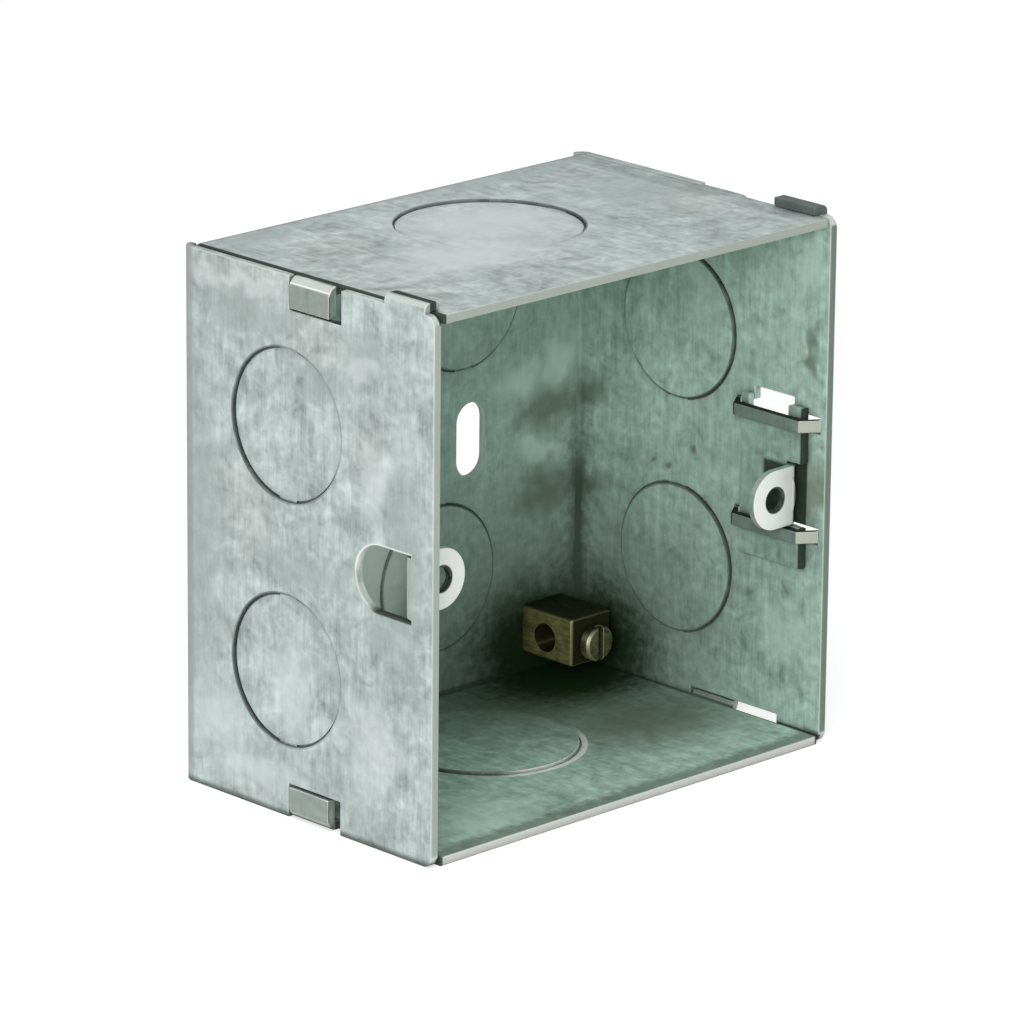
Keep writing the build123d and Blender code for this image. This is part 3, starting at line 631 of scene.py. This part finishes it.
def thread_tree():
    """A node tree that winds a ridge of square section, set on edge, along Y from a start point."""
    tree = bpy.data.node_groups.new("wound_ridge", "GeometryNodeTree")
    sockets = {
        name: tree.interface.new_socket(name, in_out="INPUT", socket_type=kind).identifier
        for name, kind in (
            ("Start", "NodeSocketVector"), ("Turns", "NodeSocketFloat"), ("Length", "NodeSocketFloat"),
            ("Radius", "NodeSocketFloat"), ("Depth", "NodeSocketFloat"), ("Finish", "NodeSocketMaterial"),
        )
    }
    tree.interface.new_socket("Ridge", in_out="OUTPUT", socket_type="NodeSocketGeometry")
    wanted = tree.nodes.new("NodeGroupInput")
    given = tree.nodes.new("NodeGroupOutput")
    winding = tree.nodes.new("GeometryNodeCurveSpiral")
    winding.inputs["Resolution"].default_value = POINTS_PER_TURN
    tree.links.new(wanted.outputs["Turns"], winding.inputs["Rotations"])
    tree.links.new(wanted.outputs["Length"], winding.inputs["Height"])
    for name in ("Start Radius", "End Radius"):
        tree.links.new(wanted.outputs["Radius"], winding.inputs[name])
    section = tree.nodes.new("GeometryNodeCurvePrimitiveCircle")
    section.inputs["Resolution"].default_value = POINTS_ROUND_RIDGE
    tree.links.new(wanted.outputs["Depth"], section.inputs["Radius"])
    upright = tree.nodes.new("GeometryNodeSetCurveNormal")
    upright.mode = "Z_UP"
    tree.links.new(winding.outputs["Curve"], upright.inputs["Curve"])
    sweep = tree.nodes.new("GeometryNodeCurveToMesh")
    sweep.inputs["Fill Caps"].default_value = True
    tree.links.new(upright.outputs["Curve"], sweep.inputs["Curve"])
    tree.links.new(section.outputs["Curve"], sweep.inputs["Profile Curve"])
    place = tree.nodes.new("GeometryNodeTransform")
    place.inputs["Rotation"].default_value = (math.radians(-90), 0.0, 0.0)
    tree.links.new(sweep.outputs["Mesh"], place.inputs["Geometry"])
    tree.links.new(wanted.outputs["Start"], place.inputs["Translation"])
    real = tree.nodes.new("GeometryNodeRealizeInstances")
    tree.links.new(place.outputs["Geometry"], real.inputs["Geometry"])
    finish = tree.nodes.new("GeometryNodeSetMaterial")
    tree.links.new(real.outputs["Geometry"], finish.inputs["Geometry"])
    tree.links.new(wanted.outputs["Finish"], finish.inputs["Material"])
    tree.links.new(finish.outputs["Geometry"], given.inputs["Ridge"])
    return tree, sockets


ridge_tree, ridge_sockets = thread_tree()


def wound_thread(name, start, length, pitch, radius, depth, material):
    """A thread's ridge as a plain mesh."""
    piece = bpy.data.objects.new(name, bpy.data.meshes.new(name))
    bpy.context.scene.collection.objects.link(piece)
    winder = piece.modifiers.new("winder", "NODES")
    winder.node_group = ridge_tree
    for socket, value in (
        ("Start", Vector(start) * MM), ("Turns", length / pitch), ("Length", length * MM),
        ("Radius", radius * MM), ("Depth", depth * MM), ("Finish", material),
    ):
        winder[ridge_sockets[socket]] = value
    wound = bpy.data.meshes.new_from_object(piece.evaluated_get(bpy.context.evaluated_depsgraph_get()))
    piece.modifiers.remove(winder)
    piece.data = wound
    return piece


def tapped_thread(name, x, z, front_y, back_y, material):
    """The thread of an ear's hole, which keeps its ends inside the ear's thickness."""
    length = back_y - front_y - 2 * THREAD_DEPTH
    start = (x, front_y + THREAD_DEPTH, z)
    return wound_thread(name, start, length, EAR_PITCH, EAR_HOLE["tapped"], THREAD_DEPTH, material)


ear_thread = tapped_thread(
    "fixed_ear_thread", -EAR_HOLE["x"], 0.0, EAR["front_y"], EAR["back_y"], zinc.material
)
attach(ear_thread, "box")


# Sliding lug
# A small galvanised plate under the two straps, with heads that keep it there. Its ear is folded inwards and
# tapped for the plate screw. The ear's front face is painted bright as lit, and the plate's front and its
# face behind the ear are painted in shade.
LUG = {"z": -2.3, "front_y": -42.5, "back_y": -41.5, "plate_x": 33.7, "plate_front_y": -43.9}
BEHIND_EAR = {"front_y": -42.6, "back_y": -37.2, "half_height": 3.6}
LUG_EDGE_ROLL = 0.1
LIT_LUG_TONE, PLATE_SHADE_TONE = (0.88, 0.90, 0.86), (0.016, 0.024, 0.016)
lug_zinc = zinc_finish("lug_steel")
# Its edges are lighter, partly worn bare and partly a painted highlight.
lug_colour = lug_zinc.blend(lug_zinc.sharp_edge(), lug_zinc.colour, BRIGHT_EDGE_AND_HIGHLIGHT, 0.7)
# Painted shade on the plate behind the ear and along its front.
behind_ear = lug_zinc.all_of(
    lug_zinc.step(lug_zinc.x, LUG["plate_x"] - 0.5, LUG["plate_x"] - 0.1),
    lug_zinc.within(lug_zinc.y, BEHIND_EAR["front_y"], BEHIND_EAR["back_y"], 0.8),
    lug_zinc.within(
        lug_zinc.z, LUG["z"] - BEHIND_EAR["half_height"], LUG["z"] + BEHIND_EAR["half_height"], 0.8
    ),
)
plate_front = lug_zinc.step(lug_zinc.y, LUG["plate_front_y"] + 0.7, LUG["plate_front_y"] + 0.3)
plate_shade = lug_zinc.any_of(plate_front, behind_ear)
lug_colour = lug_zinc.blend(plate_shade, lug_colour, PLATE_SHADE_TONE, 0.94)
# The ear's front face is painted bright as lit.
lit_lug_face = lug_zinc.all_of(
    lug_zinc.step(lug_zinc.facing[1], -0.5, -0.8),
    lug_zinc.within(lug_zinc.y, LUG["front_y"] - 0.2, LUG["front_y"] + 0.3, 0.1),
    lug_zinc.step(lug_zinc.x, LUG["plate_x"] + 0.3, LUG["plate_x"] - 0.3),
)
lug_colour = lug_zinc.blend(lit_lug_face, lug_colour, LIT_LUG_TONE, 0.92)
from_lug_hole = lug_zinc.vector("LENGTH", lug_zinc.join(
    lug_zinc.calc("SUBTRACT", lug_zinc.x, EAR_HOLE["x"]), lug_zinc.calc("SUBTRACT", lug_zinc.z, LUG["z"])
))
# Painted shade in the ear's hole and in the lug's cracks.
lug_hole = lug_zinc.all_of(
    lug_zinc.step(from_lug_hole, *EAR_HOLE["shade"]),
    lug_zinc.step(lug_zinc.y, LUG["back_y"] + 0.5, LUG["back_y"] + 0.2),
)
lug_crack = lug_zinc.crevice(1.0, 0.5, 0.9)
lug_colour = lug_zinc.blend(lug_zinc.any_of(lug_hole, lug_crack), lug_colour, SHADE_AND_GRIME, 0.93)
lug_dirt_and_shade = lug_zinc.any_of(plate_shade, lug_hole, lug_crack)
lug_roughness = lug_zinc.lerp(lug_dirt_and_shade, lug_zinc.lerp(lug_zinc.streaks, 0.34, 0.58), DARKENED_ROUGHNESS)
lug_zinc.cover(lug_colour, lug_roughness, 0.5, 0.5, lug_dirt_and_shade)
lug_zinc.bump(lug_zinc.grain, 0.03, 0.5)

lug = merged_copy("adjustable_lug", "sliding_lug")
set_bore(
    lug.data, EAR_HOLE["x"], LUG["z"], EAR_HOLE["drill"], EAR_HOLE["tapped"], LUG["front_y"], LUG["back_y"]
)
roll_edges(lug.data, LUG_EDGE_ROLL)
shade(lug, lug_zinc.material)
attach(lug, "adjustable_lug")
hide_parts("adjustable_lug")

lug_thread = tapped_thread(
    "sliding_ear_thread", EAR_HOLE["x"], LUG["z"], LUG["front_y"], LUG["back_y"], lug_zinc.material
)
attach(lug_thread, "adjustable_lug")


# Earth terminal block
# A sawn brass bar, drilled across for the wire and tapped in front, riveted to the back by its spigot. It has
# gone dull and dark with tarnish, and painted shade darkens its top, its front and its cracks.
TERMINAL_FRONT_Y = -10.7
BRASS_EDGE_ROLL = 0.08
BRASS_SHADE, BRASS_CREVICE_SHADE = (0.009, 0.010, 0.005), (0.018, 0.018, 0.009)


def brass_finish(name, clean, tarnished, edge_wear_and_highlight):
    """Old brass: brown tarnish in patches, painted shade on top, in front and in cracks, fine saw marks, and
    edges lighter with wear and a painted highlight.
    """
    brass = Finish(name)
    patches = brass.noise(brass.place, 0.45, 5.0, 0.6, 0.5)[0]
    sawn = brass.join(brass.x, brass.calc("MULTIPLY", brass.y, 0.15), brass.z)
    marks = brass.noise(sawn, 3.0, 3.0, 0.6)[0]
    mottle = brass.calc("MULTIPLY_ADD", marks, 0.5, brass.calc("MULTIPLY", patches, 0.6))
    tone = brass.step(mottle, 0.38, 0.72)
    colour = brass.blend(tone, tarnished, clean)
    # Edges lighter, partly worn and partly a painted highlight.
    colour = brass.blend(brass.sharp_edge(), colour, edge_wear_and_highlight, 0.7)
    # Painted shade on the faces that look up and on the pillar's front, and in cracks.
    pillar_front = brass.all_of(
        brass.step(brass.facing[1], -0.5, -0.9),
        brass.step(brass.y, TERMINAL_FRONT_Y - 0.3, TERMINAL_FRONT_Y - 0.1),
    )
    shaded_faces = brass.any_of(brass.step(brass.facing[2], 0.3, 0.8), pillar_front)
    colour = brass.blend(shaded_faces, colour, BRASS_SHADE, 0.97)
    crack = brass.crevice(1.5, 0.35, 0.85)
    colour = brass.blend(crack, colour, BRASS_CREVICE_SHADE, 0.9)
    brass.cover(colour, brass.lerp(tone, 0.55, 0.32), 0.6, 0.5, brass.any_of(shaded_faces, crack))
    brass.bump(marks, 0.03, 0.5)
    return brass.material


block = merged_copy("earth_terminal_block", "terminal_pillar")
roll_edges(block.data, BRASS_EDGE_ROLL)
shade(block, brass_finish("terminal_brass", (0.43, 0.42, 0.16), (0.13, 0.14, 0.05), (0.38, 0.36, 0.16)))
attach(block, "box")
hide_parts("earth_terminal_block")


# Earth terminal screw
# A slotted cheese-head brass screw whose end clamps the wire in the pillar's cross hole. Its shank is cut
# down to the thread's root, and the thread is wound on it.
SCREW = {"x": 28.2, "z": -29.05, "major": 1.9, "minor": 1.58, "pitch": 0.7, "front_y": -11.1, "back_y": -6.3}
screw_brass = brass_finish("screw_brass", (0.20, 0.195, 0.09), (0.05, 0.05, 0.022), (0.44, 0.43, 0.28))
screw = merged_copy("earth_terminal_screw", "terminal_screw")
set_bore(
    screw.data, SCREW["x"], SCREW["z"], SCREW["major"], SCREW["minor"], SCREW["front_y"], SCREW["back_y"]
)
roll_edges(screw.data, BRASS_EDGE_ROLL)
shade(screw, screw_brass)
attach(screw, "earth_screw")
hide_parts("earth_terminal_screw")

screw_thread = wound_thread(
    "terminal_screw_thread", (SCREW["x"], SCREW["front_y"] + SCREW["pitch"] / 2, SCREW["z"]),
    SCREW["back_y"] - SCREW["front_y"] - SCREW["pitch"], SCREW["pitch"], SCREW["minor"],
    SCREW["major"] - SCREW["minor"], screw_brass,
)
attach(screw_thread, "earth_screw")


# Floor and studio
# A pale floor that runs back out of sight, a soft box on the left, a weaker one above and an even sky. The
# floor and the sky show white, and they light the box as a plain grey.
FLOOR_SIZE = 6.0
FLOOR_SEEN, FLOOR_GLOW, FLOOR_PLAIN = (0.72, 0.72, 0.72, 1.0), 0.55, (0.8, 0.8, 0.8, 1.0)
SKY, SKY_STRENGTH = (0.80, 0.81, 0.82, 1.0), 0.5
half, floor_z = FLOOR_SIZE / 2, -WALL_OUT * MM
floor_mesh = bpy.data.meshes.new("floor")
floor_mesh.from_pydata(
    [(x * half, y * half, floor_z) for x, y in ((-1, -1), (1, -1), (1, 1), (-1, 1))], [], [(0, 1, 2, 3)]
)
floor = bpy.data.objects.new("floor", floor_mesh)
bpy.context.scene.collection.objects.link(floor)


def seen_choice(tree, unseen, seen):
    """One shader for rays that show the background, by camera, gloss or glass, and another for the rest."""
    path = tree.nodes.new("ShaderNodeLightPath")
    share = path.outputs["Is Camera Ray"]
    for name in ("Is Glossy Ray", "Is Transmission Ray"):
        larger = tree.nodes.new("ShaderNodeMath")
        larger.operation = "MAXIMUM"
        tree.links.new(share, larger.inputs[0])
        tree.links.new(path.outputs[name], larger.inputs[1])
        share = larger.outputs[0]
    choice = tree.nodes.new("ShaderNodeMixShader")
    for socket, value in zip(choice.inputs, (share, unseen.outputs[0], seen.outputs[0])):
        tree.links.new(value, socket)
    return choice


pale = bpy.data.materials.new("pale_floor")
pale.use_nodes = True
floor_tree = pale.node_tree
floor_tree.nodes.clear()
matt = floor_tree.nodes.new("ShaderNodeBsdfDiffuse")
matt.inputs["Color"].default_value = FLOOR_SEEN
glow = floor_tree.nodes.new("ShaderNodeEmission")
glow.inputs["Strength"].default_value = FLOOR_GLOW
lit = floor_tree.nodes.new("ShaderNodeAddShader")
floor_tree.links.new(matt.outputs[0], lit.inputs[0])
floor_tree.links.new(glow.outputs[0], lit.inputs[1])
plain = floor_tree.nodes.new("ShaderNodeBsdfDiffuse")
plain.inputs["Color"].default_value = FLOOR_PLAIN
floor_output = floor_tree.nodes.new("ShaderNodeOutputMaterial")
floor_tree.links.new(seen_choice(floor_tree, plain, lit).outputs[0], floor_output.inputs["Surface"])
floor_mesh.materials.append(pale)

world = bpy.data.worlds.new("studio")
world.use_nodes = True
bpy.context.scene.world = world
sky_tree = world.node_tree
sky = sky_tree.nodes["Background"]
sky.inputs["Color"].default_value = SKY
sky.inputs["Strength"].default_value = SKY_STRENGTH
white = sky_tree.nodes.new("ShaderNodeBackground")
white.inputs["Color"].default_value = (1.0, 1.0, 1.0, 1.0)
sky_output = sky_tree.nodes["World Output"]
sky_tree.links.new(seen_choice(sky_tree, sky, white).outputs[0], sky_output.inputs["Surface"])


def soft_box(name, place, size, power):
    """A square area lamp that looks at the box, placed in metres."""
    lamp = bpy.data.lights.new(name, "AREA")
    lamp.energy, lamp.size = power, size
    stand = bpy.data.objects.new(name, lamp)
    stand.location = place
    stand.rotation_euler = (-Vector(place)).to_track_quat("-Z", "Y").to_euler()
    bpy.context.scene.collection.objects.link(stand)


soft_box("soft_box_left", (-1.0, -0.75, 0.42), 0.5, 10.5)
soft_box("soft_box_above", (-0.2, -0.3, 1.1), 0.6, 3.5)


# Camera
# The photograph's view: from the left, a little above, through a long lens that is turned by half a degree.
# The eye is placed in metres.
AZIMUTH, ELEVATION, ROLL = math.radians(44.322), math.radians(17.339), math.radians(0.576)
EYE = Vector((-0.5917, -0.6299, 0.2626))
FOCAL_PIXELS, IMAGE_PIXELS = 6829.7, 1024
ahead = Vector((
    math.sin(AZIMUTH) * math.cos(ELEVATION), math.cos(AZIMUTH) * math.cos(ELEVATION), -math.sin(ELEVATION)
))
level = Vector((math.cos(AZIMUTH), -math.sin(AZIMUTH), 0.0))
upright = level.cross(ahead)
right = math.cos(ROLL) * level + math.sin(ROLL) * upright
up = math.cos(ROLL) * upright - math.sin(ROLL) * level
lens = bpy.data.cameras.new("camera")
lens.lens = FOCAL_PIXELS / IMAGE_PIXELS * lens.sensor_width
lens.clip_start = 0.05
camera = bpy.data.objects.new("camera", lens)
camera.matrix_world = Matrix.Translation(EYE) @ Matrix((right, up, -ahead)).transposed().to_4x4()
bpy.context.scene.collection.objects.link(camera)
bpy.context.scene.camera = camera
bpy.context.scene.view_settings.view_transform = "Standard"
